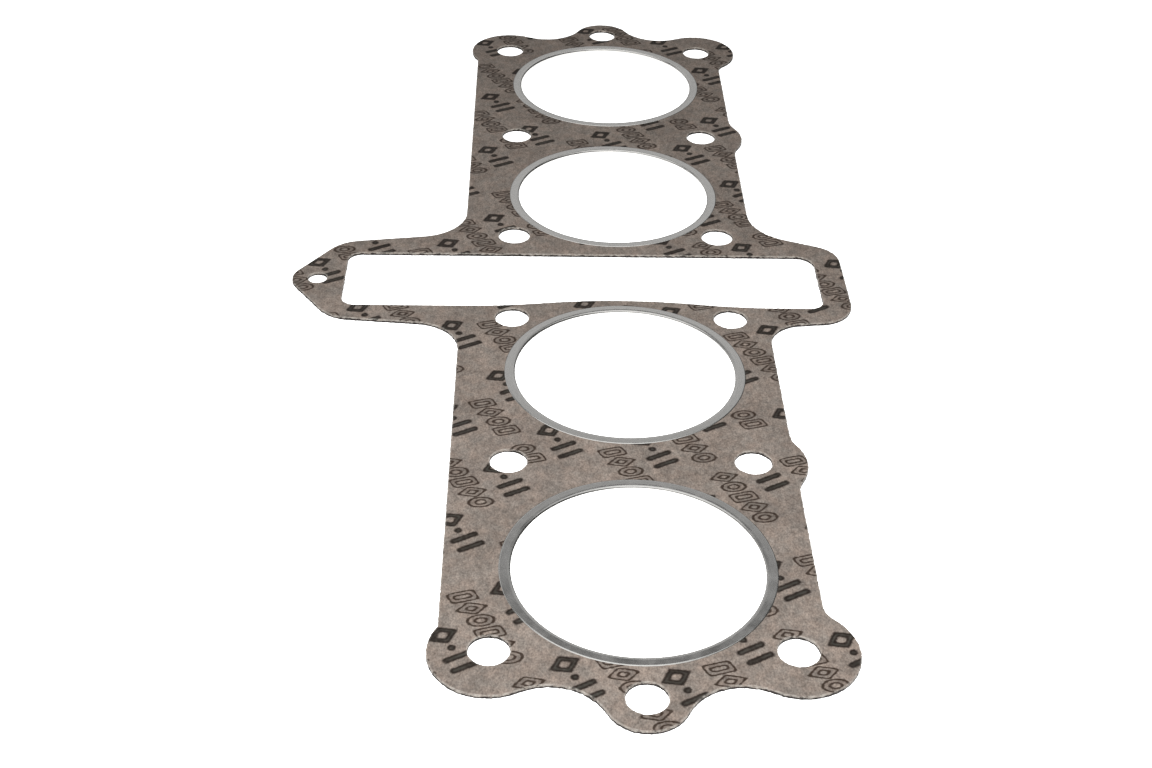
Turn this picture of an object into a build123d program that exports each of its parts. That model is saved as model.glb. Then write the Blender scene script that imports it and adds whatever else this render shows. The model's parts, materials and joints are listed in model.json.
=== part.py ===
from build123d import *
from math import asin, atan2, copysign, sqrt, tan
import os

# Cylinder head gasket of an air-cooled engine with four cylinders in a row, in millimetres.
# A stamped sheet of fibre facing carries four steel fire rings. Each ring is an eyelet, folded
# over the edge of its cylinder hole so that its section is a C lying on its side.
# The origin is the middle of the stud pattern, on the underside of the sheet. +Y runs along
# the row of cylinders, away from the viewer, +X runs across it and +Z leaves the printed face.

# Cylinder row
bore_pitch = 89.0  # between the two cylinders of one pair
chain_gap = 109.4  # between the two pairs, across the cam chain
bore_radius = 33.1  # inside the fire ring

# Facing sheet
facing_thickness = 1.1
left_land = 14.6  # facing between a fire ring and the left edge
right_land = 9.8

# Fire rings
ring_metal = 0.2
flange_width = 3.3
seat_depth = 0.1  # a flange is pressed this far into the facing
fold_radius = 0.3  # outside of each bend
fold_flats = 2  # flats that each bend is drawn with
ring_clearance = 0.02

# Stud holes, counted from the cylinder that they stand beside
stud_hole_radius = 5.3
inner_stud_x = 34.5
inner_stud_back = 29.2  # towards the chain
corner_stud_x = 38.1
corner_stud_out = 31.0  # towards the end of the row
end_stud_out = 46.9
stud_rim = 10.1  # facing round a stud hole where the outline follows it
end_rim = 5.5

# Concave fillets of the outline
corner_fillet_right = 7.0
corner_fillet_left = 2.0
boss_fillet = 11.0
end_fillet = 15.0

# Cam chain window
window_left = -89.2
window_right = 65.4
window_far_land = 5.1  # facing between the window and the far pair's ring
window_near_land = 3.1  # the same at the near pair, where the edge is swept out round it
sweep_rise = 3.7
sweep_reach = 50.0
window_corner = 4.5
window_far_right_corner = 6.0

# Right arm, widths from the window's edges to the outline
right_arm_width = 8.9
right_far_shoulder = 4.1
right_far_root = 15.3
right_near_shoulder = 7.1
right_near_root = 10.2
right_far_shoulder_round = 10.5
right_near_shoulder_round = 11.5
right_far_root_fillet = 18.0
right_near_root_fillet = 11.5

# Left arm, with the ear at its tip
left_shoulder_width = 3.0
left_far_shoulder = 6.8
left_far_root = 13.1
left_near_shoulder = 7.0
left_near_root = 11.0
left_shoulder_round = 13.0
left_far_root_fillet = 16.5
left_near_root_fillet = 14.5
ear_hole_radius = 3.1
ear_hole_out = 8.8  # from the window's end
ear_rim = 5.1

# Places that follow from the sizes
ring_outer_radius = bore_radius + flange_width
near_bore_y = chain_gap / 2
end_bore_y = near_bore_y + bore_pitch
bore_rows = (-end_bore_y, -near_bore_y, near_bore_y, end_bore_y)

left_edge = -(ring_outer_radius + left_land)
right_edge = ring_outer_radius + right_land
strip_middle = (left_edge + right_edge) / 2

inner_stud_y = near_bore_y - inner_stud_back
middle_stud_y = near_bore_y + bore_pitch / 2
corner_stud_y = end_bore_y + corner_stud_out
end_stud_y = end_bore_y + end_stud_out
stud_lobe = stud_hole_radius + stud_rim
end_lobe = stud_hole_radius + end_rim

seat_low = seat_depth
seat_high = facing_thickness - seat_depth

window_far = near_bore_y - ring_outer_radius - window_far_land
window_waist = -(near_bore_y - ring_outer_radius - window_near_land)
window_near = window_waist - sweep_rise

ear_hole = Vector(
    window_left - ear_hole_out,
    (window_far + left_far_shoulder + window_near - left_near_shoulder) / 2,
)
ear_lobe = ear_hole_radius + ear_rim

studs = [
    Vector(side * stud_x, end * stud_y)
    for side in (-1, 1)
    for end in (-1, 1)
    for stud_x, stud_y in (
        (inner_stud_x, inner_stud_y),
        (inner_stud_x, middle_stud_y),
        (corner_stud_x, corner_stud_y),
    )
]
end_studs = [Vector(0, end * end_stud_y) for end in (-1, 1)]


def touch_point(lobe, lobe_radius, fillet_centre):
    """Where a fillet touches the lobe that it runs into."""
    return lobe + (fillet_centre - lobe).normalized() * lobe_radius


def fillet_beside_edge(lobe, lobe_radius, edge_x, radius, way):
    """Centre of the fillet between a lobe and the side edge that the lobe stands out of."""
    outward = copysign(1, edge_x - lobe.X)
    run = abs(edge_x - lobe.X) + radius
    rise = sqrt((lobe_radius + radius) ** 2 - run**2)
    return Vector(edge_x + outward * radius, lobe.Y + way * rise)


def fillet_between_lobes(lobe_a, radius_a, lobe_b, radius_b, radius):
    """Centre of the fillet that touches two lobes, on the side away from the origin."""
    span = (lobe_b - lobe_a).length
    along = (lobe_b - lobe_a).normalized()
    across = along.rotate(Axis.Z, 90)
    if across.dot(lobe_a + lobe_b) < 0:
        across = across.reverse()
    reach_a = radius_a + radius
    reach_b = radius_b + radius
    run = (reach_a**2 - reach_b**2 + span**2) / (2 * span)
    return lobe_a + along * run + across * sqrt(reach_a**2 - run**2)


def web(fillet_centre, radius, touch_a, touch_b, *inner_points):
    """Facing between a concave fillet and the points inside the outline behind it."""
    towards = (touch_a + touch_b) / 2 - fillet_centre
    middle = fillet_centre + towards.normalized() * radius
    with BuildSketch(mode=Mode.PRIVATE) as face:
        with BuildLine():
            ThreePointArc(touch_a, middle, touch_b)
            Polyline(touch_b, *inner_points, touch_a)
        make_face()
    return face.sketch


def side_web(lobe, edge_x, radius, way):
    """The web between a stud lobe and a side edge, or nothing where the lobe stays inside."""
    if abs(edge_x - lobe.X) >= stud_lobe:
        return None
    centre = fillet_beside_edge(lobe, stud_lobe, edge_x, radius, way)
    on_lobe = touch_point(lobe, stud_lobe, centre)
    on_edge = Vector(edge_x, centre.Y)
    return web(centre, radius, on_lobe, on_edge, Vector(lobe.X, centre.Y), lobe)


def ear_tip(shoulder):
    """Where a flank that leaves a shoulder and touches the ear's lobe meets the ear's axis."""
    away = shoulder - ear_hole
    lean = atan2(abs(away.Y), away.X) - asin(ear_lobe / away.length)
    return Vector(shoulder.X - abs(away.Y) / tan(lean), ear_hole.Y)


# Sheet
with BuildPart() as facing_sheet:
    with BuildSketch() as outline:
        with Locations((strip_middle, 0)):
            Rectangle(right_edge - left_edge, 2 * corner_stud_y)
        for end in (-1, 1):
            end_stud = Vector(0, end * end_stud_y)
            boss = Vector(inner_stud_x, end * middle_stud_y)
            with Locations(end_stud):
                Circle(end_lobe)
            with Locations(boss):
                Circle(stud_lobe)
            for way in (-1, 1):
                boss_web = side_web(boss, right_edge, boss_fillet, way)
                if boss_web:
                    add(boss_web)
            for side, edge_x, radius in (
                (-1, left_edge, corner_fillet_left),
                (1, right_edge, corner_fillet_right),
            ):
                corner = Vector(side * corner_stud_x, end * corner_stud_y)
                with Locations(corner):
                    Circle(stud_lobe)
                corner_web = side_web(corner, edge_x, radius, -end)
                if corner_web:
                    add(corner_web)
                centre = fillet_between_lobes(corner, stud_lobe, end_stud, end_lobe, end_fillet)
                on_corner = touch_point(corner, stud_lobe, centre)
                on_end = touch_point(end_stud, end_lobe, centre)
                middle = Vector(0, corner.Y)
                add(web(centre, end_fillet, on_corner, on_end, end_stud, middle, corner))

        # Right arm
        right_end = window_right + right_arm_width
        with BuildLine():
            FilletPolyline(
                (strip_middle, middle_stud_y),
                (right_edge, middle_stud_y),
                (right_edge, window_far + right_far_root),
                (right_end, window_far + right_far_shoulder),
                (right_end, window_near - right_near_shoulder),
                (right_edge, window_near - right_near_root),
                (right_edge, -middle_stud_y),
                (strip_middle, -middle_stud_y),
                radius=(
                    0,
                    0,
                    right_far_root_fillet,
                    right_far_shoulder_round,
                    right_near_shoulder_round,
                    right_near_root_fillet,
                    0,
                    0,
                ),
                close=True,
            )
        make_face()

        # Left arm
        far_shoulder = Vector(window_left - left_shoulder_width, window_far + left_far_shoulder)
        near_shoulder = Vector(far_shoulder.X, window_near - left_near_shoulder)
        with BuildLine():
            FilletPolyline(
                (strip_middle, middle_stud_y),
                (left_edge, middle_stud_y),
                (left_edge, window_far + left_far_root),
                far_shoulder,
                ear_tip(far_shoulder),
                near_shoulder,
                (left_edge, window_near - left_near_root),
                (left_edge, -middle_stud_y),
                (strip_middle, -middle_stud_y),
                radius=(
                    0,
                    0,
                    left_far_root_fillet,
                    left_shoulder_round,
                    ear_lobe,
                    left_shoulder_round,
                    left_near_root_fillet,
                    0,
                    0,
                ),
                close=True,
            )
        make_face()
    extrude(amount=facing_thickness)

    # Cam chain window, its near edge swept out beside the near pair's ring
    with BuildSketch() as window:
        with BuildLine():
            sweep_start = Vector(-sweep_reach, window_near)
            sweep_side = Vector(-sweep_reach / 2, window_near + sweep_rise / 2)
            rising = TangentArc(sweep_start, sweep_side, tangent=(1, 0))
            swept = TangentArc(rising @ 1, (-sweep_side.X, sweep_side.Y), tangent=rising % 1)
            falling = TangentArc(swept @ 1, (sweep_reach, window_near), tangent=swept % 1)
            Polyline(
                falling @ 1,
                (window_right, window_near),
                (window_right, window_far),
                (window_left, window_far),
                (window_left, window_near),
                sweep_start,
            )
        make_face()
        far_right = window.vertices().group_by(Axis.X)[-1].sort_by(Axis.Y)[-1]
        fillet(far_right, window_far_right_corner)
        near_right = window.vertices().group_by(Axis.X)[-1].sort_by(Axis.Y)[0]
        left_corners = window.vertices().group_by(Axis.X)[0]
        fillet([near_right, *left_corners], window_corner)
    extrude(amount=facing_thickness, mode=Mode.SUBTRACT)

    # Stud holes and the ear's hole
    with BuildSketch():
        with Locations(*studs, *end_studs):
            Circle(stud_hole_radius)
        with Locations(ear_hole):
            Circle(ear_hole_radius)
    extrude(amount=facing_thickness, mode=Mode.SUBTRACT)

    # Cylinder holes, with the tongue of facing that each folded ring grips
    hole_radius = ring_outer_radius + ring_clearance
    tongue_radius = bore_radius + ring_metal + ring_clearance
    above = 2 * facing_thickness
    for bore_y in bore_rows:
        with BuildSketch(Plane.XZ.offset(-bore_y)):
            with BuildLine():
                Polyline(
                    (0, -above),
                    (hole_radius, -above),
                    (hole_radius, seat_low),
                    (tongue_radius, seat_low),
                    (tongue_radius, seat_high),
                    (hole_radius, seat_high),
                    (hole_radius, above),
                    (0, above),
                    close=True,
                )
            make_face()
        revolve(axis=Axis((0, bore_y, 0), (0, 0, 1)), mode=Mode.SUBTRACT)

facing_sheet.part.label = "facing_sheet"
os.makedirs("parts", exist_ok=True)
export_step(facing_sheet.part, "parts/facing_sheet.step")


def bend(centre_z, start_angle):
    """Outside of one bend of the ring's steel, from its start through a quarter turn."""
    centre = Vector(bore_radius + fold_radius, centre_z)
    turn = 90 / fold_flats
    return [
        centre + Vector(fold_radius, 0).rotate(Axis.Z, start_angle + flat * turn)
        for flat in range(fold_flats + 1)
    ]


# Fire rings, each revolved from the C of its fold
flange_top = seat_high + ring_metal
flange_bottom = seat_low - ring_metal
inside_radius = bore_radius + ring_metal
for number, bore_y in enumerate(bore_rows, start=1):
    with BuildPart() as fire_ring:
        with BuildSketch(Plane.XZ.offset(-bore_y)):
            with BuildLine():
                Polyline(
                    (ring_outer_radius, flange_bottom),
                    (ring_outer_radius, seat_low),
                    (inside_radius, seat_low),
                    (inside_radius, seat_high),
                    (ring_outer_radius, seat_high),
                    (ring_outer_radius, flange_top),
                    *bend(flange_top - fold_radius, 90),
                    *bend(flange_bottom + fold_radius, 180),
                    close=True,
                )
            make_face()
        revolve(axis=Axis((0, bore_y, 0), (0, 0, 1)))
    fire_ring.part.label = f"fire_ring_{number}"
    export_step(fire_ring.part, f"parts/fire_ring_{number}.step")
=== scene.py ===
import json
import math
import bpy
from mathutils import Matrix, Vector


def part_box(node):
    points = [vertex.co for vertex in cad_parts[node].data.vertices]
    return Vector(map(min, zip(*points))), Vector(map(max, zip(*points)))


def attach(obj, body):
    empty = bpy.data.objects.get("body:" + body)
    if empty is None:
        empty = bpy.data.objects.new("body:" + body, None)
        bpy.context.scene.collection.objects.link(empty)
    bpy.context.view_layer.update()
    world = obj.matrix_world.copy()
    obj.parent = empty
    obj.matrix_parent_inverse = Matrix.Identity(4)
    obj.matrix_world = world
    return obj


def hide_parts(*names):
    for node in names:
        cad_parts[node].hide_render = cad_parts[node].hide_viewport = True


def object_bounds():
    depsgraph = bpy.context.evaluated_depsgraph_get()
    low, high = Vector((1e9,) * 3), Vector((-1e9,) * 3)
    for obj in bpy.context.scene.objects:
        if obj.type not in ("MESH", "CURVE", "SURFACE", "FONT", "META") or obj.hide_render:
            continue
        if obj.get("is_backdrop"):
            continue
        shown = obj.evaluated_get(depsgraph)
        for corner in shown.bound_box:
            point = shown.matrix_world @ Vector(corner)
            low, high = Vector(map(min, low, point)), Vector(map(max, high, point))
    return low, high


bl_info = {
    "name": "Cylinder head gasket",
    "version": (1, 0, 0),
    "blender": (4, 5, 0),
    "location": "3D View > Sidebar > Gasket",
    "description": "Dresses a packed cylinder head gasket: fibre facing, print and folded fire rings",
    "category": "Object",
}

import bmesh
import bpy
from bpy.props import FloatProperty, FloatVectorProperty, IntProperty, PointerProperty
from mathutils import Matrix, Vector

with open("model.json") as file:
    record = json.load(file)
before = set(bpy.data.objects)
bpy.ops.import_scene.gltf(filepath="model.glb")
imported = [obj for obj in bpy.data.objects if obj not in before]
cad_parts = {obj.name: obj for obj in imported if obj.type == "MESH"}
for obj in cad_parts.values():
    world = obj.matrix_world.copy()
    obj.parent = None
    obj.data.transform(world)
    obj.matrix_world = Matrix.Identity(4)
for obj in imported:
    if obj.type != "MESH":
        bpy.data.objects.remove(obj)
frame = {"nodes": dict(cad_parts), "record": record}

mm = 0.001
merge_distance = 0.001 * mm
flat_tolerance = 0.005 * mm
tongue_clearance = 0.02 * mm  # between a ring's steel and the facing that it grips
ring_margin = 0.3 * mm  # what is nearer than this to a ring belongs to its seat

# The frame's own places
sheet_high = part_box("facing_sheet")[1]
ring_names = sorted(name for name in frame["nodes"] if name.startswith("fire_ring"))
ring_boxes = {name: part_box(name) for name in ring_names}
ring_centres = {name: (low + high) / 2 for name, (low, high) in ring_boxes.items()}
first_low, first_high = ring_boxes[ring_names[0]]
ring_outer_radius = (first_high.x - first_low.x) / 2
first_bore = next(mount for mount in frame["record"]["mounts"] if mount["name"] == "cylinder_bore_1")
bore_radius = first_bore["dims"]["r_mm"] * mm


class FacingSettings(bpy.types.PropertyGroup):
    cut_step: FloatProperty(
        name="Cut step",
        description="About the length of the straight pieces that a punched edge is drawn in",
        default=0.45 * mm,
        unit="LENGTH",
    )
    lip_width: FloatProperty(
        name="Lip width",
        description="Width of the rounded lip that the punch leaves along a cut",
        default=0.35 * mm,
        unit="LENGTH",
    )
    shoulder_width: FloatProperty(
        name="Shoulder width",
        description="Width over which the pale lip fades into the facing",
        default=0.35 * mm,
        unit="LENGTH",
    )
    lip_drop: FloatProperty(
        name="Lip drop",
        description="How far the punch draws the top edge down",
        default=0.08 * mm,
        unit="LENGTH",
    )
    fray: FloatProperty(
        name="Fray",
        description="How far the cut edge wanders",
        default=0.42 * mm,
        unit="LENGTH",
    )
    fray_size: FloatProperty(
        name="Fray size",
        description="Length of one nick in the cut edge",
        default=1.0 * mm,
        unit="LENGTH",
    )
    fibre_colour: FloatVectorProperty(
        name="Fibre colour",
        description="The facing's pressed fibre",
        default=(0.0840, 0.0725, 0.0635),
        subtype="COLOR",
    )
    lip_colour: FloatVectorProperty(
        name="Lip colour",
        description="Bare fibre along a cut",
        default=(0.24, 0.225, 0.205),
        subtype="COLOR",
    )
    # Painted shade: the dark colour painted on the lower part of every cut wall
    cut_shade_colour: FloatVectorProperty(
        name="Cut shade colour",
        description="The lower part of a cut wall, painted dark as shade",
        default=(0.0120, 0.0100, 0.0088),
        subtype="COLOR",
    )


class PrintSettings(bpy.types.PropertyGroup):
    ink_colour: FloatVectorProperty(
        name="Ink colour",
        description="The rim of the solid marks, where the stamp squeezes the ink out",
        default=(0.0064, 0.0047, 0.0037),
        subtype="COLOR",
    )
    thin_film_colour: FloatVectorProperty(
        name="Thin film colour",
        description="The middle of the solid marks, where the ink is thinner and greyer",
        default=(0.0195, 0.0187, 0.0160),
        subtype="COLOR",
    )
    thin_ink_colour: FloatVectorProperty(
        name="Thin ink colour",
        description="The outlined marks",
        default=(0.014, 0.0095, 0.0068),
        subtype="COLOR",
    )
    slant: FloatProperty(
        name="Slant",
        description="Angle of the printed lines to the row of cylinders",
        default=math.radians(60.92),
        subtype="ANGLE",
    )


class RingSettings(bpy.types.PropertyGroup):
    metal: FloatProperty(
        name="Metal",
        description="Thickness of the ring's steel",
        default=0.2 * mm,
        unit="LENGTH",
    )
    bend: FloatProperty(
        name="Bend",
        description="Outside radius of the fold into the cylinder hole",
        default=0.6 * mm,
        unit="LENGTH",
    )
    dish_width: FloatProperty(
        name="Dish width",
        description="Inner part of a flange, which slopes into the cylinder hole",
        default=1.15 * mm,
        unit="LENGTH",
    )
    dish_drop: FloatProperty(
        name="Dish drop",
        description="How far that part falls",
        default=0.11 * mm,
        unit="LENGTH",
    )
    roll_width: FloatProperty(
        name="Roll width",
        description="Outermost part of a flange, which is rolled down into the facing",
        default=0.32 * mm,
        unit="LENGTH",
    )
    roll_drop: FloatProperty(
        name="Roll drop",
        description="How far the rolled edge falls",
        default=0.12 * mm,
        unit="LENGTH",
    )
    edge_softness: FloatProperty(
        name="Edge softness",
        description="Width of the rounding on the flange's cut edge",
        default=0.03 * mm,
        unit="LENGTH",
    )
    steps: IntProperty(
        name="Steps",
        description="Divisions round the ring",
        default=240,
        min=24,
    )
    steel_colour: FloatVectorProperty(
        name="Steel colour",
        description="Satin coated steel",
        default=(0.655, 0.645, 0.625),
        subtype="COLOR",
    )
    # Painted shade: the dark line painted along the lower fold inside the cylinder hole
    fold_shade_colour: FloatVectorProperty(
        name="Fold shade colour",
        description="Dark line along the lower fold inside the cylinder hole",
        default=(0.05, 0.047, 0.044),
        subtype="COLOR",
    )


class StageSettings(bpy.types.PropertyGroup):
    floor_colour: FloatVectorProperty(
        name="Floor colour",
        description="Plain floor",
        default=(0.82, 0.82, 0.82),
        subtype="COLOR",
    )
    floor_glow: FloatProperty(
        name="Floor glow",
        description="Light that comes up through the floor",
        default=0.4,
    )
    floor_size: FloatProperty(
        name="Floor size",
        description="Side of the square floor",
        default=8.0,
        unit="LENGTH",
    )
    key_power: FloatProperty(
        name="Key power",
        description="Soft light above the camera, in watts",
        default=9.8,
    )
    key_size: FloatProperty(
        name="Key size",
        description="Side of the square soft light",
        default=0.4,
        unit="LENGTH",
    )
    key_place: FloatVectorProperty(
        name="Key place",
        description="Where the soft light hangs",
        default=(-0.05, -0.35, 0.45),
        subtype="XYZ",
    )
    key_aim: FloatVectorProperty(
        name="Key aim",
        description="The point the soft light faces",
        default=(0.0, -0.2, 0.0),
        subtype="XYZ",
    )
    lens: FloatProperty(
        name="Lens",
        description="Focal length on a 36 mm sensor, in millimetres",
        default=53.85,
    )
    camera_place: FloatVectorProperty(
        name="Camera place",
        description="Where the camera stands",
        default=(-0.02795, -0.48139, 0.29805),
        subtype="XYZ",
    )
    camera_aim: FloatVectorProperty(
        name="Camera aim",
        description="The point the camera looks at",
        default=(-0.01487, -0.06021, 0.0),
        subtype="XYZ",
    )
    camera_roll: FloatProperty(
        name="Camera roll",
        description="Turn of the camera about its line of sight",
        default=0.026,
        subtype="ANGLE",
    )


# Modelling by hand, in code


def only(piece):
    """Makes piece the one selected and active object."""
    bpy.ops.object.select_all(action="DESELECT")
    piece.select_set(True)
    bpy.context.view_layer.objects.active = piece


def enter(piece):
    only(piece)
    bpy.ops.object.mode_set(mode="EDIT")


def leave():
    bpy.ops.object.mode_set(mode="OBJECT")


def pick(piece, kind, test):
    """Selects the vertices, edges or faces that test accepts, and says how many there are."""
    bpy.ops.mesh.select_all(action="DESELECT")
    bpy.ops.mesh.select_mode(type=kind)
    mesh = bmesh.from_edit_mesh(piece.data)
    mesh.normal_update()
    elements = {"VERT": mesh.verts, "EDGE": mesh.edges, "FACE": mesh.faces}[kind]
    count = 0
    for element in elements:
        if test(element):
            element.select_set(True)
            count += 1
    mesh.select_flush_mode()
    bmesh.update_edit_mesh(piece.data)
    return count


def lies_at(height):
    """Accepts the faces that lie in the plane at a height, slivers with no normal too."""
    return lambda face: all(abs(vertex.co.z - height) < flat_tolerance for vertex in face.verts)


def ring_distance(point):
    """Distance of a point from the axis of the nearest fire ring."""
    return min((point - centre).xy.length for centre in ring_centres.values())


def beside_ring(point):
    return ring_distance(point) < ring_outer_radius + ring_margin


def finish_piece(piece, material, replaced):
    piece.data.materials.clear()
    piece.data.materials.append(material)
    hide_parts(replaced)
    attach(piece, "root")


# Materials

# Nearly all values of a noise lie between these
noise_low = 0.3
noise_high = 0.7


def add_node(tree, kind, inputs=None, **settings):
    """A new node. An input is a plain value, or another node's output to link."""
    new = tree.nodes.new(kind)
    for name, value in settings.items():
        setattr(new, name, value)
    for name, value in (inputs or {}).items():
        if isinstance(value, bpy.types.NodeSocket):
            tree.links.new(value, new.inputs[name])
        else:
            new.inputs[name].default_value = value
    return new


def maths(tree, operation, *values):
    return add_node(tree, "ShaderNodeMath", dict(enumerate(values)), operation=operation).outputs[0]


def chosen(tree, test, otherwise, value):
    """The value where the test is 1, and the other one where it is 0."""
    return add_node(
        tree,
        "ShaderNodeMix",
        {0: test, 2: otherwise, 3: value},
        data_type="FLOAT",
    ).outputs[0]


def mixed(tree, factor, a, b, blend="MIX"):
    """Colour a, with b laid over it by factor."""
    node = add_node(tree, "ShaderNodeMix", data_type="RGBA", blend_type=blend)
    colours = [socket for socket in node.inputs if socket.type == "RGBA"]
    for socket, value in zip((node.inputs[0], *colours), (factor, a, b)):
        if isinstance(value, bpy.types.NodeSocket):
            tree.links.new(value, socket)
        elif socket.type == "RGBA":
            socket.default_value = (*value, 1.0)
        else:
            socket.default_value = value
    return next(socket for socket in node.outputs if socket.type == "RGBA")


def noise(tree, place, size, detail=3.0, roughness=0.6):
    """Noise from 0 to 1 whose features are about size millimetres across."""
    return add_node(
        tree,
        "ShaderNodeTexNoise",
        {
            "Vector": place,
            "Scale": 1.0 / size,
            "Detail": detail,
            "Roughness": roughness,
        },
    ).outputs["Fac"]


def spread(tree, value, low, high, out_low=0.0, out_high=1.0, smooth=False):
    """Maps low to high onto out_low to out_high, and holds the ends."""
    return add_node(
        tree,
        "ShaderNodeMapRange",
        {
            "Value": value,
            "From Min": low,
            "From Max": high,
            "To Min": out_low,
            "To Max": out_high,
        },
        interpolation_type="SMOOTHSTEP" if smooth else "LINEAR",
    ).outputs["Result"]


def between(tree, noise_value, low, high):
    """Noise drawn out from low to high."""
    return spread(tree, noise_value, noise_low, noise_high, low, high)


def varied(tree, place, size, amount, detail=3.0, roughness=0.6):
    """Noise about 1, by amount either way."""
    return between(tree, noise(tree, place, size, detail, roughness), 1.0 - amount, 1.0 + amount)


def wandering(tree, place, size, amount):
    """Noise about 0, over amount in all."""
    return maths(tree, "MULTIPLY", maths(tree, "SUBTRACT", noise(tree, place, size), 0.5), amount)


def new_material(name):
    material = bpy.data.materials.new(name)
    material.use_nodes = True
    tree = material.node_tree
    shader = next(node for node in tree.nodes if node.type == "BSDF_PRINCIPLED")
    return material, tree, shader


def place_in_mm(tree, turn=0.0, stretch=(1.0, 1.0, 1.0)):
    """Object coordinates in millimetres, turned about Z."""
    coordinates = add_node(tree, "ShaderNodeTexCoord").outputs["Object"]
    return add_node(
        tree,
        "ShaderNodeMapping",
        {
            "Vector": coordinates,
            "Rotation": (0.0, 0.0, turn),
            "Scale": tuple(value / mm for value in stretch),
        },
    ).outputs["Vector"]


def separate(tree, vector):
    node = add_node(tree, "ShaderNodeSeparateXYZ", {"Vector": vector})
    return node.outputs["X"], node.outputs["Y"], node.outputs["Z"]


# The print: slanting lines of solid marks, with a line of outlined marks between each two.
# Every length is in millimetres, along the lines and across them.
line_pitch = 21.46
first_solid_line = 88.8
first_thin_line = 78.07
solid_pitch = 31.1
solid_start = 18.3
solid_shift = 11.1
solid_odd_shift = 3.3
thin_pitch = 124.4
thin_start = 62.1
thin_shift = 10.95
thin_odd_shift = -49.2
thin_cells = 25
thin_runs = ((0, 6), (7, 12), (15, 19), (20, 22))
corner_softness = 1.6

# A solid mark is a hollow lozenge, a dot and two bars: places along the line, and half sizes
hollow_place = -5.2
hollow_half_size = (3.4, 4.6)
hollow_inset = 0.9
hollow_half_stroke = 0.85
dot_place = -0.2
dot_radius = 1.1
bar_places = (3.2, 7.2)
bar_half_size = (1.0, 4.1)

# An outlined mark: two lines round one of three shapes
thin_lean = 0.22
block_half_size = (1.9, 3.4)
lozenge_half_size = (2.4, 4.0)
disc_radius = 2.1
disc_height_ratio = 0.66
half_band = 0.575
half_thin_line = 0.25

# The ink, by the distance from a mark's edge, which is less than zero inside the mark.
# Patches begin and are full at these two values of a noise.
edge_wander = 0.7
solid_soft_edge = (0.3, -0.3)
film_edge = (-0.4, -0.95)
thin_soft_edge = (0.18, -0.14)
smudge_edge = (0.1, -0.2)
smudge_strength = 0.22
coverage_patches = (0.25, 0.6)
least_coverage = 0.88
film_patches = (0.35, 0.62)
least_film = 0.25

# The facing: its second colour as factors of its first, and how far its fibres stretch along the row
fibre_tint = (1.055, 0.985, 0.95)
tint_patches = (0.35, 0.65)
fibre_stretch = 0.65
fibre_roughness = (0.62, 0.82)
fibre_specular = 0.12
fine_relief_share = 0.6
fibre_bump = 0.35
fibre_relief = 0.05 * mm

# A cut: how deep the print reaches there, the heights at which its painted shade begins and is full,
# in millimetres, and the values of rim at which the painted shade and the lip begin and are full
printed_depth = 0.3
shade_heights = (0.72, 0.5)
shade_wander = 1.7
shade_rim = (0.7, 0.95)
lip_rim = (0.3, 0.95)
lip_patches = (0.38, 0.62)
lip_strength = 0.55
least_lip = 0.1

# A ring: its brushing, and the painted shade along its lower fold, in millimetres from the bore and
# in height
brush_width = 0.22
brush_length_scale = 4.0
ring_to_ring_scale = 0.02
brushed_tones = (0.93, 1.07)
blotch_tones = (0.94, 1.06)
steel_roughness = (0.18, 0.26)
steel_bump = 0.12
steel_relief = 0.01 * mm
# Painted shade along the lower fold: how strong it is, and where it begins and is full
fold_shade_strength = 0.8
fold_shade_width = (0.35, 0.15)
fold_shade_height = (0.3, 0.1)


def line_of(tree, across, first_line):
    """The index of the nearest printed line, whether it is odd, and the distance from it."""
    position = maths(tree, "DIVIDE", maths(tree, "SUBTRACT", first_line, across), line_pitch)
    index = maths(tree, "ROUND", position)
    odd = maths(tree, "FLOORED_MODULO", index, 2.0)
    offset = maths(tree, "MULTIPLY", maths(tree, "SUBTRACT", index, position), line_pitch)
    return index, odd, offset


def shifted_along(tree, along, index, odd, start, shift, odd_shift):
    """Distance along a line, counted from its first mark."""
    moved = maths(tree, "MULTIPLY_ADD", index, shift, along)
    moved = maths(tree, "MULTIPLY_ADD", odd, -odd_shift, moved)
    return maths(tree, "SUBTRACT", moved, start)


def bar_distance(tree, along, across, centre, half_size):
    half_width, half_height = half_size
    beside = maths(tree, "ABSOLUTE", maths(tree, "SUBTRACT", along, centre))
    above = maths(tree, "ABSOLUTE", across)
    return maths(
        tree,
        "SMOOTH_MAX",
        maths(tree, "SUBTRACT", beside, half_width),
        maths(tree, "SUBTRACT", above, half_height),
        corner_softness,
    )


def rounded_absolute(tree, value):
    """The value without its sign, with the turn at zero rounded off."""
    return maths(tree, "SMOOTH_MAX", value, maths(tree, "MULTIPLY", value, -1.0), corner_softness)


def lozenge_distance(tree, along, across, centre, half_size):
    half_width, half_height = half_size
    beside = rounded_absolute(tree, maths(tree, "SUBTRACT", along, centre))
    above = rounded_absolute(tree, across)
    lean = half_width / half_height
    reach = maths(tree, "MULTIPLY_ADD", above, lean, beside)
    steepness = 1.0 / math.sqrt(1.0 + lean * lean)
    return maths(tree, "MULTIPLY", maths(tree, "SUBTRACT", reach, half_width), steepness)


def disc_distance(tree, along, across, centre, radius):
    beside = maths(tree, "POWER", maths(tree, "SUBTRACT", along, centre), 2.0)
    above = maths(tree, "POWER", across, 2.0)
    away = maths(tree, "SQRT", maths(tree, "ADD", beside, above))
    return maths(tree, "SUBTRACT", away, radius)


def outline_of(tree, distance, half_line):
    return maths(tree, "SUBTRACT", maths(tree, "ABSOLUTE", distance), half_line)


def nearest(tree, *distances):
    result = distances[0]
    for distance in distances[1:]:
        result = maths(tree, "MINIMUM", result, distance)
    return result


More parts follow.
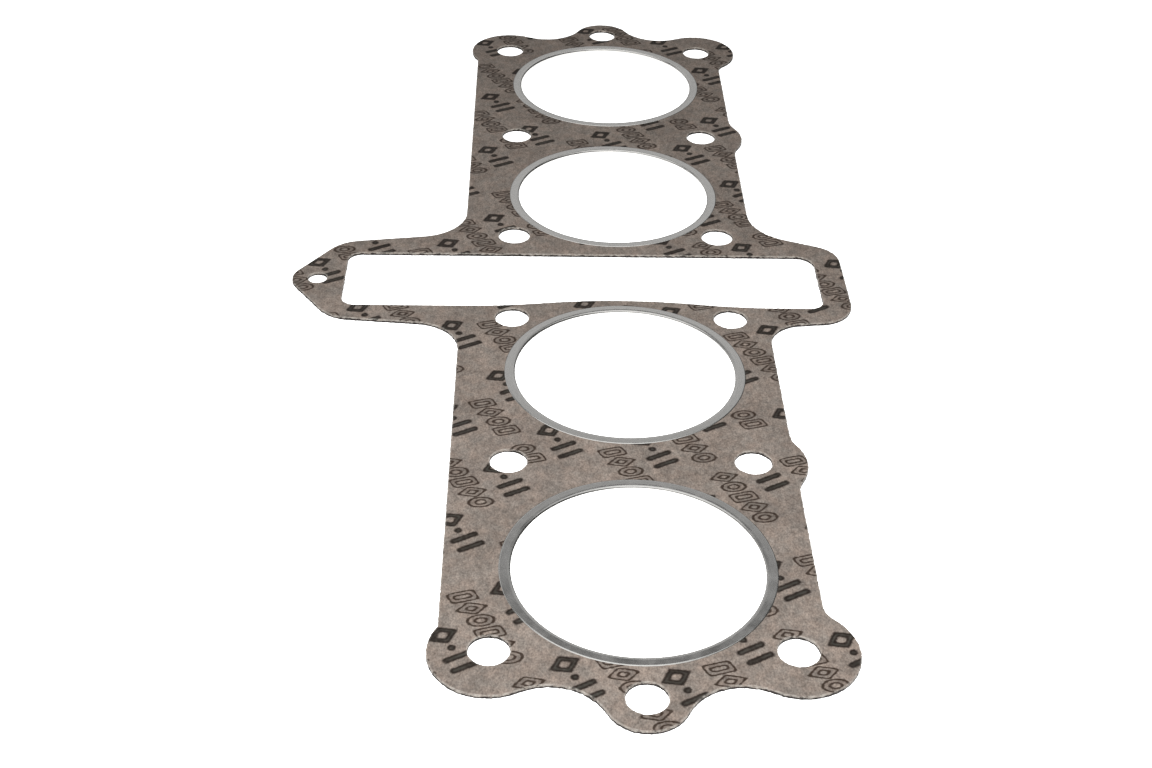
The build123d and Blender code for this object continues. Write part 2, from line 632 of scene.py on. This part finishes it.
def solid_marks(tree, along, across):
    """Distance to the solid marks: a hollow lozenge, a dot and two bars."""
    index, odd, offset = line_of(tree, across, first_solid_line)
    moved = shifted_along(tree, along, index, odd, solid_start, -solid_shift, solid_odd_shift)
    half = solid_pitch / 2
    here = maths(tree, "WRAP", moved, half, -half)
    hollow = lozenge_distance(tree, here, offset, hollow_place, hollow_half_size)
    return nearest(
        tree,
        outline_of(tree, maths(tree, "ADD", hollow, hollow_inset), hollow_half_stroke),
        disc_distance(tree, here, offset, dot_place, dot_radius),
        *(bar_distance(tree, here, offset, place, bar_half_size) for place in bar_places),
    )


def thin_marks(tree, along, across):
    """Distance to the outlined marks' lines, to the band between them, and 1 where there are any."""
    index, odd, offset = line_of(tree, across, first_thin_line)
    moved = shifted_along(tree, along, index, odd, thin_start, -thin_shift, thin_odd_shift)
    here = maths(tree, "FLOORED_MODULO", moved, thin_pitch)
    cell_size = thin_pitch / thin_cells
    leaning = maths(tree, "MULTIPLY_ADD", offset, -thin_lean, here)
    position = maths(tree, "DIVIDE", leaning, cell_size)
    cell = maths(tree, "FLOOR", position)
    within = maths(tree, "SUBTRACT", maths(tree, "FRACT", position), 0.5)
    beside = maths(tree, "MULTIPLY", within, cell_size)
    kind = maths(tree, "FLOORED_MODULO", cell, 3.0)

    block = bar_distance(tree, beside, offset, 0.0, block_half_size)
    lozenge = lozenge_distance(tree, beside, offset, 0.0, lozenge_half_size)
    flattened = maths(tree, "MULTIPLY", offset, disc_height_ratio)
    disc = disc_distance(tree, beside, flattened, 0.0, disc_radius)
    is_block = maths(tree, "LESS_THAN", kind, 0.5)
    is_disc = maths(tree, "GREATER_THAN", kind, 1.5)
    shape = chosen(tree, is_disc, chosen(tree, is_block, lozenge, block), disc)
    band = outline_of(tree, maths(tree, "ADD", shape, half_band), half_band)
    lines = outline_of(tree, band, half_thin_line)

    share = maths(tree, "DIVIDE", cell, float(thin_cells))
    ramp_node = add_node(tree, "ShaderNodeValToRGB", {"Fac": share})
    ramp = ramp_node.color_ramp
    ramp.interpolation = "CONSTANT"
    stops = sorted({edge: on for run in thin_runs for edge, on in zip(run, (1.0, 0.0))}.items())
    while len(ramp.elements) < len(stops):
        ramp.elements.new(1.0)
    for element, (edge, on) in zip(ramp.elements, stops):
        element.position = max(0.0, (edge - 0.5) / thin_cells)
        element.color = (on, on, on, 1.0)
    return lines, band, ramp_node.outputs["Color"]


def facing_material(facing, marks):
    """Pressed fibre: warm grey, mottled, printed on its upper face, with pale lips, and painted shade
    on the lower part of its cuts.
    """
    material, tree, shader = new_material("fibre_facing")
    place = place_in_mm(tree)
    streaked = place_in_mm(tree, stretch=(1.0, fibre_stretch, 1.0))
    height = separate(tree, place)[2]
    rim = add_node(
        tree,
        "ShaderNodeAttribute",
        attribute_name="rim",
        attribute_type="GEOMETRY",
    ).outputs["Fac"]

    # Mottling, from broad clouds to single fibres
    cloud = varied(tree, place, size=16.0, amount=0.14)
    mottle = varied(tree, streaked, size=1.6, amount=0.29, detail=5.0, roughness=0.7)
    grain = varied(tree, streaked, size=0.5, amount=0.38, roughness=0.75)
    tone = maths(tree, "MULTIPLY", maths(tree, "MULTIPLY", cloud, mottle), grain)
    tinted = mixed(
        tree,
        spread(tree, noise(tree, place, size=4.0), *tint_patches),
        tuple(facing.fibre_colour),
        tuple(value * factor for value, factor in zip(facing.fibre_colour, fibre_tint)),
    )
    fibre = mixed(tree, 1.0, tinted, tone, "MULTIPLY")

    # Print
    turned = place_in_mm(tree, marks.slant)
    wobble = wandering(tree, place, size=1.1, amount=edge_wander)
    along, across, _ = separate(tree, turned)
    solid = maths(tree, "ADD", solid_marks(tree, along, across), wobble)
    thin, band, thin_on = thin_marks(tree, along, across)
    thin = maths(tree, "ADD", thin, wobble)
    fine_noise = noise(tree, place, size=0.9)
    coverage = spread(tree, fine_noise, *coverage_patches, least_coverage, 1.0)
    solid_ink = maths(tree, "MULTIPLY", spread(tree, solid, *solid_soft_edge, smooth=True), coverage)
    patchy_film = spread(tree, noise(tree, place, size=7.0), *film_patches, least_film, 1.0)
    film = maths(tree, "MULTIPLY", spread(tree, solid, *film_edge, smooth=True), patchy_film)
    ink = mixed(tree, film, tuple(marks.ink_colour), tuple(marks.thin_film_colour))
    smudge = spread(tree, band, *smudge_edge, 0.0, smudge_strength)
    thin_ink = maths(tree, "MAXIMUM", spread(tree, thin, *thin_soft_edge, smooth=True), smudge)
    thin_ink = maths(tree, "MULTIPLY", maths(tree, "MULTIPLY", thin_ink, thin_on), coverage)
    on_top = maths(tree, "GREATER_THAN", height, sheet_high.z / mm - printed_depth)
    thin_ink = maths(tree, "MULTIPLY", thin_ink, on_top)
    solid_ink = maths(tree, "MULTIPLY", solid_ink, on_top)
    printed = mixed(tree, thin_ink, fibre, tuple(marks.thin_ink_colour))
    printed = mixed(tree, solid_ink, printed, ink)

    # Cut edges: a pale broken lip above, and a dark line of painted shade below
    lip_noise = noise(tree, place, size=1.1, roughness=0.7)
    patchy = spread(tree, lip_noise, *lip_patches, least_lip, 1.0)
    lip = maths(tree, "MULTIPLY", spread(tree, rim, *lip_rim, 0.0, lip_strength), patchy)
    lipped = mixed(tree, lip, printed, tuple(facing.lip_colour))
    # Painted shade: the lower part of each cut wall is darkened
    below = maths(tree, "ADD", height, wandering(tree, place, size=1.6, amount=shade_wander))
    dark = maths(tree, "MULTIPLY", spread(tree, below, *shade_heights), spread(tree, rim, *shade_rim))
    cut = mixed(tree, dark, lipped, tuple(facing.cut_shade_colour))
    tree.links.new(cut, shader.inputs["Base Color"])

    # A matt, felted surface
    roughness = between(tree, noise(tree, place, size=1.0), *fibre_roughness)
    tree.links.new(roughness, shader.inputs["Roughness"])
    shader.inputs["Specular IOR Level"].default_value = fibre_specular
    fine_relief = noise(tree, place, size=0.3, detail=2.0)
    broad_relief = noise(tree, place, size=1.4, detail=4.0)
    relief = maths(tree, "MULTIPLY_ADD", fine_relief, fine_relief_share, broad_relief)
    bump = add_node(
        tree,
        "ShaderNodeBump",
        {"Strength": fibre_bump, "Distance": fibre_relief, "Height": relief},
    )
    tree.links.new(bump.outputs["Normal"], shader.inputs["Normal"])
    return material


def steel_material(ring):
    """Satin steel, brushed round the ring by the folding tool, with painted shade along its lower
    fold.
    """
    material, tree, shader = new_material("satin_steel")
    place = place_in_mm(tree)
    x, y, height = separate(tree, place)

    # The rings lie in two pairs, so folding the row twice brings every ring onto one
    middle = sum(abs(centre.y) for centre in ring_centres.values()) / len(ring_centres) / mm
    half_pitch = max(abs(centre.y) for centre in ring_centres.values()) / mm - middle
    pair_y = maths(tree, "ABSOLUTE", maths(tree, "SUBTRACT", maths(tree, "ABSOLUTE", y), middle))
    own_y = maths(tree, "SUBTRACT", pair_y, half_pitch)
    squares = maths(tree, "MULTIPLY_ADD", own_y, own_y, maths(tree, "POWER", x, 2.0))
    radius = maths(tree, "SQRT", squares)
    angle = maths(tree, "ARCTAN2", own_y, x)
    polar = add_node(
        tree,
        "ShaderNodeCombineXYZ",
        {
            "X": radius,
            "Y": maths(tree, "MULTIPLY", angle, brush_length_scale),
            "Z": maths(tree, "MULTIPLY", y, ring_to_ring_scale),
        },
    ).outputs["Vector"]
    brushed = noise(tree, polar, size=brush_width, detail=2.0)
    blotch = noise(tree, place, size=5.0)
    brushed_tone = between(tree, brushed, *brushed_tones)
    blotch_tone = between(tree, blotch, *blotch_tones)
    tone = maths(tree, "MULTIPLY", brushed_tone, blotch_tone)
    colour = mixed(tree, 1.0, tuple(ring.steel_colour), tone, "MULTIPLY")

    # Painted shade: a dark line along the lower fold inside the cylinder hole
    inner_fold = spread(tree, radius, *(bore_radius / mm + width for width in fold_shade_width))
    low_fold = maths(tree, "MULTIPLY", spread(tree, height, *fold_shade_height), inner_fold)
    fold_shade = maths(tree, "MULTIPLY", low_fold, fold_shade_strength)
    fold_shaded = mixed(tree, fold_shade, colour, tuple(ring.fold_shade_colour))
    tree.links.new(fold_shaded, shader.inputs["Base Color"])
    shader.inputs["Metallic"].default_value = 1.0
    roughness = between(tree, blotch, *steel_roughness)
    tree.links.new(roughness, shader.inputs["Roughness"])
    bump = add_node(
        tree,
        "ShaderNodeBump",
        {"Strength": steel_bump, "Distance": steel_relief, "Height": brushed},
    )
    tree.links.new(bump.outputs["Normal"], shader.inputs["Normal"])
    return material


# Facing sheet

flat_angle = math.radians(0.5)
longest_in_steps = 1.4
sheet_smooth_angle = math.radians(35)
upright = 0.5  # a face whose normal rises or falls by less than this is a wall
shoulder_rim = 0.45  # the rim value beside a cut, which is 1 on the cut and 0 away from it
fray_depth = 2


def divide_long_edges(piece, step):
    """Halves the punched edges until none is much longer than step."""

    def is_long(edge):
        long = edge.calc_length() > longest_in_steps * step
        return edge.is_boundary and long and not beside_ring(edge.verts[0].co)

    while pick(piece, "EDGE", is_long):
        bpy.ops.mesh.subdivide(number_cuts=1)


def keep_outline():
    """Leaves only the edges round the faces, selected."""
    bpy.ops.mesh.select_all(action="SELECT")
    bpy.ops.mesh.region_to_loop()
    bpy.ops.mesh.select_all(action="INVERT")
    bpy.ops.mesh.delete(type="EDGE")
    bpy.ops.mesh.select_all(action="SELECT")
    bpy.ops.mesh.delete(type="ONLY_FACE")
    bpy.ops.mesh.select_all(action="SELECT")


def stamp_sheet(piece, facing):
    """Turns a copy of the CAD sheet into its upper face, with finely divided edges."""
    bpy.ops.mesh.select_all(action="SELECT")
    bpy.ops.mesh.remove_doubles(threshold=merge_distance)
    pick(piece, "FACE", lies_at(sheet_high.z))
    bpy.ops.mesh.select_all(action="INVERT")
    bpy.ops.mesh.delete(type="FACE")
    bpy.ops.mesh.select_all(action="SELECT")
    bpy.ops.mesh.dissolve_limited(angle_limit=flat_angle)
    divide_long_edges(piece, facing.cut_step)
    keep_outline()
    bpy.ops.mesh.fill(use_beauty=True)


def thicken_sheet(piece, levels):
    """Extrudes the upper face down through the levels, and leaves a closed solid."""
    bpy.ops.mesh.select_all(action="SELECT")
    height = sheet_high.z
    for level in levels:
        bpy.ops.mesh.extrude_region_move(
            TRANSFORM_OT_translate={"value": (0.0, 0.0, level - height)}
        )
        height = level
    bpy.ops.mesh.select_all(action="SELECT")
    bpy.ops.mesh.normals_make_consistent(inside=False)


def grow_tongues(piece, low, high, tongue_radius):
    """Draws the wall of each cylinder hole inwards between two heights, for the ring to grip."""
    for centre in ring_centres.values():

        def on_wall(face):
            middle = face.calc_center_median()
            return (
                abs(face.normal.z) < upright
                and low < middle.z < high
                and (middle - centre).xy.length < ring_outer_radius + ring_margin
            )

        if not pick(piece, "FACE", on_wall):
            raise RuntimeError("a cylinder hole has no wall to draw the tongue from")
        ratio = tongue_radius / (ring_outer_radius + tongue_clearance)
        bpy.ops.mesh.extrude_region_move(TRANSFORM_OT_translate={"value": (0.0, 0.0, 0.0)})
        bpy.ops.transform.resize(value=(ratio, ratio, 1.0), center_override=centre)


def line_lips(piece, facing):
    """Two narrow bands along every edge of the upper and the lower face."""
    for height in (sheet_high.z, 0.0):
        pick(piece, "FACE", lies_at(height))
        for width in (facing.lip_width, facing.shoulder_width):
            bpy.ops.mesh.inset(
                thickness=width,
                depth=0.0,
                use_boundary=True,
                use_even_offset=True,
                use_relative_offset=False,
            )


def mark_rims(piece, facing):
    """Draws the punched rims down, and stores how near each vertex is to a cut as rim."""
    mesh = piece.data
    walls = set()
    for face in mesh.polygons:
        if abs(face.normal.z) < upright:
            walls.update(face.vertices)
    cut = {index for index in walls if not beside_ring(mesh.vertices[index].co)}
    beside = set()
    for edge in mesh.edges:
        a, b = edge.vertices
        if (a in cut) != (b in cut):
            beside.add(b if a in cut else a)
    rim = mesh.attributes.new("rim", "FLOAT", "POINT")
    for index, value in enumerate(rim.data):
        value.value = 1.0 if index in cut else shoulder_rim if index in beside else 0.0
    for index in cut:
        point = mesh.vertices[index].co
        if abs(point.z - sheet_high.z) < flat_tolerance:
            point.z -= facing.lip_drop
        elif abs(point.z) < flat_tolerance:
            point.z += facing.lip_drop
    group = piece.vertex_groups.new(name="cut_edge")
    group.add(sorted(cut), 1.0, "REPLACE")
    return group.name


def fray_edges(piece, facing, group):
    """Lets the cut wander a little, as punched fibre does."""
    for direction in ("X", "Y"):
        texture = bpy.data.textures.new(f"fray_{direction}", "CLOUDS")
        texture.noise_scale = facing.fray_size
        texture.noise_depth = fray_depth
        shake = piece.modifiers.new(f"fray_{direction}", "DISPLACE")
        shake.texture = texture
        shake.texture_coords = "LOCAL"
        shake.direction = direction
        shake.strength = facing.fray
        shake.mid_level = 0.5
        shake.vertex_group = group
        bpy.ops.object.modifier_apply(modifier=shake.name)


class GASKET_OT_facing_sheet(bpy.types.Operator):
    """Makes the printed fibre facing from a copy of the frame's sheet"""

    bl_idname = "gasket.facing_sheet"
    bl_label = "Facing sheet"
    bl_options = {"REGISTER", "UNDO"}

    def execute(self, context):
        facing = context.scene.gasket_facing
        piece = bpy.data.objects.new("punched_facing", frame["nodes"]["facing_sheet"].data.copy())
        context.scene.collection.objects.link(piece)
        enter(piece)
        bpy.ops.mesh.customdata_custom_splitnormals_clear()
        stamp_sheet(piece, facing)
        ring = context.scene.gasket_ring
        seat = ring.metal - (first_high.z - sheet_high.z)
        middle = sheet_high.z / 2
        thicken_sheet(piece, (sheet_high.z - seat, middle, seat, 0.0))
        tongue_radius = bore_radius + ring.dish_width + tongue_clearance
        grow_tongues(piece, seat, sheet_high.z - seat, tongue_radius)
        line_lips(piece, facing)
        leave()
        group = mark_rims(piece, facing)
        fray_edges(piece, facing, group)
        bpy.ops.object.shade_smooth_by_angle(angle=sheet_smooth_angle)
        material = facing_material(facing, context.scene.gasket_print)
        finish_piece(piece, material, "facing_sheet")
        return {"FINISHED"}


# Fire rings

ring_smooth_angle = math.radians(40)
sharp_angle = math.radians(60)
outside_segments = 7
inside_segments = 4
flange_cuts = 19
dish_power = 1.15  # nearly a cone
roll_power = 2.0
outer_skin = 0.99  # share of the half height beyond which a point is on the outer face


def draw_section(piece, ring, outer):
    """Cuts a rectangle into the square-cornered C of the fold, open at the outer end."""
    bpy.ops.mesh.select_all(action="SELECT")
    bpy.ops.mesh.inset(thickness=ring.metal, use_even_offset=True, use_relative_offset=False)
    bpy.ops.mesh.delete(type="FACE")

    def is_mouth(face):
        return face.calc_center_median().x > outer - ring.metal

    pick(piece, "FACE", is_mouth)
    bpy.ops.mesh.delete(type="FACE")

    def inner_end(vertex):
        return abs(vertex.co.x - (outer - ring.metal)) < flat_tolerance

    pick(piece, "VERT", inner_end)
    bpy.ops.transform.translate(value=(ring.metal, 0.0, 0.0))


def round_corners(radius, segments):
    """Rounds the selected corners of a section. The chord is given, so root two times the radius."""
    bpy.ops.mesh.bevel(
        affect="VERTICES",
        offset_type="WIDTH",
        offset=radius * math.sqrt(2.0),
        segments=segments,
    )


def round_folds(piece, ring, inside):
    """Rounds the section's two folds, on the outside and on the inside of the metal."""

    def outside_fold(vertex):
        return abs(vertex.co.x - inside) < flat_tolerance

    def inside_fold(vertex):
        return abs(vertex.co.x - inside - ring.metal) < flat_tolerance

    pick(piece, "VERT", outside_fold)
    round_corners(ring.bend, outside_segments)
    pick(piece, "VERT", inside_fold)
    round_corners(ring.bend - ring.metal, inside_segments)


def shape_flanges(piece, ring, inside, flange, height):
    """Slopes the flanges into the cylinder hole, and rolls their outer edge down."""

    def along_flange(edge):
        a, b = (vertex.co for vertex in edge.verts)
        return abs(a.z - b.z) < flat_tolerance and abs(a.x - b.x) > flange / 2

    pick(piece, "EDGE", along_flange)
    bpy.ops.mesh.subdivide(number_cuts=flange_cuts)
    section = bmesh.from_edit_mesh(piece.data)
    middle = (first_low.z + first_high.z) / 2
    for vertex in section.verts:
        outwards = vertex.co.x - inside
        side = (vertex.co.z - middle) / (height / 2)
        dish = max(0.0, 1.0 - outwards / ring.dish_width) ** dish_power
        roll = max(0.0, 1.0 - (flange - outwards) / ring.roll_width) ** roll_power
        vertex.co.z -= side * ring.dish_drop * dish
        if abs(side) > outer_skin:
            vertex.co.z -= side * ring.roll_drop * roll
    bmesh.update_edit_mesh(piece.data)


def spin_section(piece, ring, centre):
    """Spins the section's outline round the axis of the cylinder hole, and closes the seam."""
    keep_outline()
    bpy.ops.mesh.spin(
        steps=ring.steps,
        angle=2.0 * math.pi,
        center=(centre.x, centre.y, 0.0),
        axis=(0.0, 0.0, 1.0),
    )
    bpy.ops.mesh.select_all(action="SELECT")
    bpy.ops.mesh.remove_doubles(threshold=merge_distance)
    bpy.ops.mesh.normals_make_consistent(inside=False)


def soften_edges(piece, width):
    soften = piece.modifiers.new("cut_edges", "BEVEL")
    soften.limit_method = "ANGLE"
    soften.angle_limit = sharp_angle
    soften.width = width
    soften.segments = 2
    bpy.ops.object.modifier_apply(modifier=soften.name)
    bpy.ops.object.shade_smooth_by_angle(angle=ring_smooth_angle)


class GASKET_OT_fire_rings(bpy.types.Operator):
    """Folds one steel fire ring and copies it into each cylinder hole"""

    bl_idname = "gasket.fire_rings"
    bl_label = "Fire rings"
    bl_options = {"REGISTER", "UNDO"}

    def execute(self, context):
        ring = context.scene.gasket_ring
        centre = ring_centres[ring_names[0]]
        inside = centre.x + bore_radius
        flange = ring_outer_radius - bore_radius
        height = first_high.z - first_low.z
        bpy.ops.object.select_all(action="DESELECT")
        bpy.ops.mesh.primitive_plane_add(
            size=1.0,
            location=(inside + flange / 2, centre.y, (first_low.z + first_high.z) / 2),
            rotation=(math.radians(90), 0.0, 0.0),
        )
        piece = context.active_object
        piece.name = "folded_ring_1"
        piece.scale = (flange, height, 1.0)
        bpy.ops.object.transform_apply(location=True, rotation=True, scale=True)
        enter(piece)
        draw_section(piece, ring, centre.x + ring_outer_radius)
        round_folds(piece, ring, inside)
        shape_flanges(piece, ring, inside, flange, height)
        spin_section(piece, ring, centre)
        leave()
        soften_edges(piece, ring.edge_softness)

        twins = [piece]
        for number, other in enumerate(ring_names[1:], start=2):
            only(piece)
            bpy.ops.object.duplicate()
            twin = context.active_object
            twin.name = f"folded_ring_{number}"
            twin.data.transform(Matrix.Translation(ring_centres[other] - centre))
            twins.append(twin)
        material = steel_material(ring)
        for twin, name in zip(twins, ring_names):
            finish_piece(twin, material, name)
        return {"FINISHED"}


# Stage

floor_gap = 0.02 * mm
floor_roughness = 0.9
sensor_width = 36.0  # in millimetres
clip_distances = (0.01, 20.0)  # in metres

# The room's right side is in shade, and the low wall behind the camera is brighter by this share
right_side = (0.2, 0.5)
right_side_strength = 0.18
camera_side = (-0.3, -0.75)
low_wall_heights = (0.4, 0.2)
camera_wall_boost = 1.8

# Brightness of the room by the height of the direction: level walls, a dark band, a bright ceiling
room_brightness = (
    (0.0, 0.3),
    (0.30, 0.3),
    (0.40, 0.47),
    (0.50, 0.62),
    (0.59, 0.65),
    (0.64, 0.37),
    (0.68, 0.06),
    (0.735, 0.03),
    (0.81, 1.0),
    (1.0, 1.2),
)


def glowing_material(name, colour, glow):
    """A matt surface lit a little from behind, as a light table is."""
    material, tree, shader = new_material(name)
    shader.inputs["Base Color"].default_value = (*colour, 1.0)
    shader.inputs["Roughness"].default_value = floor_roughness
    shader.inputs["Specular IOR Level"].default_value = 0.0
    shader.inputs["Emission Color"].default_value = (1.0, 1.0, 1.0, 1.0)
    shader.inputs["Emission Strength"].default_value = glow
    return material


def lay_floor(stage):
    low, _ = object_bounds()
    bpy.ops.object.select_all(action="DESELECT")
    place = (0.0, 0.0, low[2] - floor_gap)
    bpy.ops.mesh.primitive_plane_add(size=stage.floor_size, location=place)
    floor = bpy.context.active_object
    floor.name = "floor"
    floor.data.materials.append(glowing_material("floor", stage.floor_colour, stage.floor_glow))
    floor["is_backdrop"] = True


def hang_key(scene, stage):
    light = bpy.data.lights.new("key", "AREA")
    light.shape = "SQUARE"
    light.size = stage.key_size
    light.energy = stage.key_power
    key = bpy.data.objects.new("key", light)
    key.location = stage.key_place
    key.rotation_euler = (Vector(stage.key_aim) - key.location).to_track_quat("-Z", "Y").to_euler()
    key.visible_glossy = False
    scene.collection.objects.link(key)


def light_room(scene):
    """A room with a dark band above its walls, which the steel reflects."""
    world = bpy.data.worlds.new("studio")
    world.use_nodes = True
    scene.world = world
    tree = world.node_tree
    background = next(node for node in tree.nodes if node.type == "BACKGROUND")
    direction = add_node(tree, "ShaderNodeTexCoord").outputs["Generated"]
    sideways, onward, upward = separate(tree, direction)
    ramp_node = add_node(tree, "ShaderNodeValToRGB", {"Fac": upward})
    ramp = ramp_node.color_ramp
    ramp.interpolation = "EASE"
    while len(ramp.elements) < len(room_brightness):
        ramp.elements.new(1.0)
    for element, (height, brightness) in zip(ramp.elements, room_brightness):
        element.position = height
        element.color = (brightness, brightness, brightness, 1.0)
    tree.links.new(ramp_node.outputs["Color"], background.inputs["Color"])
    shaded = spread(tree, sideways, *right_side, 1.0, right_side_strength)
    behind_camera = spread(tree, onward, *camera_side)
    low_wall = maths(tree, "MULTIPLY", behind_camera, spread(tree, upward, *low_wall_heights))
    lit = maths(tree, "MULTIPLY_ADD", low_wall, camera_wall_boost, 1.0)
    strength = maths(tree, "MULTIPLY", shaded, lit)
    tree.links.new(strength, background.inputs["Strength"])


def set_camera(scene, stage):
    camera_data = bpy.data.cameras.new("camera")
    camera_data.lens = stage.lens
    camera_data.sensor_width = sensor_width
    camera_data.clip_start, camera_data.clip_end = clip_distances
    camera = bpy.data.objects.new("camera", camera_data)
    place = Vector(stage.camera_place)
    aim = (Vector(stage.camera_aim) - place).to_track_quat("-Z", "Y")
    turn = Matrix.Rotation(stage.camera_roll, 4, "Z")
    camera.matrix_world = Matrix.Translation(place) @ aim.to_matrix().to_4x4() @ turn
    scene.collection.objects.link(camera)
    scene.camera = camera


class GASKET_OT_stage(bpy.types.Operator):
    """Sets the floor, the light and the camera"""

    bl_idname = "gasket.stage"
    bl_label = "Stage"
    bl_options = {"REGISTER", "UNDO"}

    def execute(self, context):
        stage = context.scene.gasket_stage
        lay_floor(stage)
        hang_key(context.scene, stage)
        light_room(context.scene)
        set_camera(context.scene, stage)
        context.scene.view_settings.view_transform = "Standard"
        return {"FINISHED"}


class GASKET_PT_panel(bpy.types.Panel):
    bl_label = "Cylinder head gasket"
    bl_idname = "GASKET_PT_panel"
    bl_space_type = "VIEW_3D"
    bl_region_type = "UI"
    bl_category = "Gasket"

    def draw(self, context):
        layout = self.layout
        for operator, *groups in (
            (GASKET_OT_facing_sheet, "gasket_facing", "gasket_print"),
            (GASKET_OT_fire_rings, "gasket_ring"),
            (GASKET_OT_stage, "gasket_stage"),
        ):
            box = layout.box()
            box.operator(operator.bl_idname)
            for name in groups:
                group = getattr(context.scene, name)
                for key in group.__annotations__:
                    box.prop(group, key)


classes = (
    FacingSettings,
    PrintSettings,
    RingSettings,
    StageSettings,
    GASKET_OT_facing_sheet,
    GASKET_OT_fire_rings,
    GASKET_OT_stage,
    GASKET_PT_panel,
)
setting_groups = {
    "gasket_facing": FacingSettings,
    "gasket_print": PrintSettings,
    "gasket_ring": RingSettings,
    "gasket_stage": StageSettings,
}


def register():
    for item in classes:
        bpy.utils.register_class(item)
    for name, group in setting_groups.items():
        setattr(bpy.types.Scene, name, PointerProperty(type=group))


def unregister():
    for name in setting_groups:
        delattr(bpy.types.Scene, name)
    for item in reversed(classes):
        bpy.utils.unregister_class(item)


def main():
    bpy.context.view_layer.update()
    register()
    bpy.ops.gasket.facing_sheet()
    bpy.ops.gasket.fire_rings()
    bpy.ops.gasket.stage()


if __name__ == "__main__":
    main()
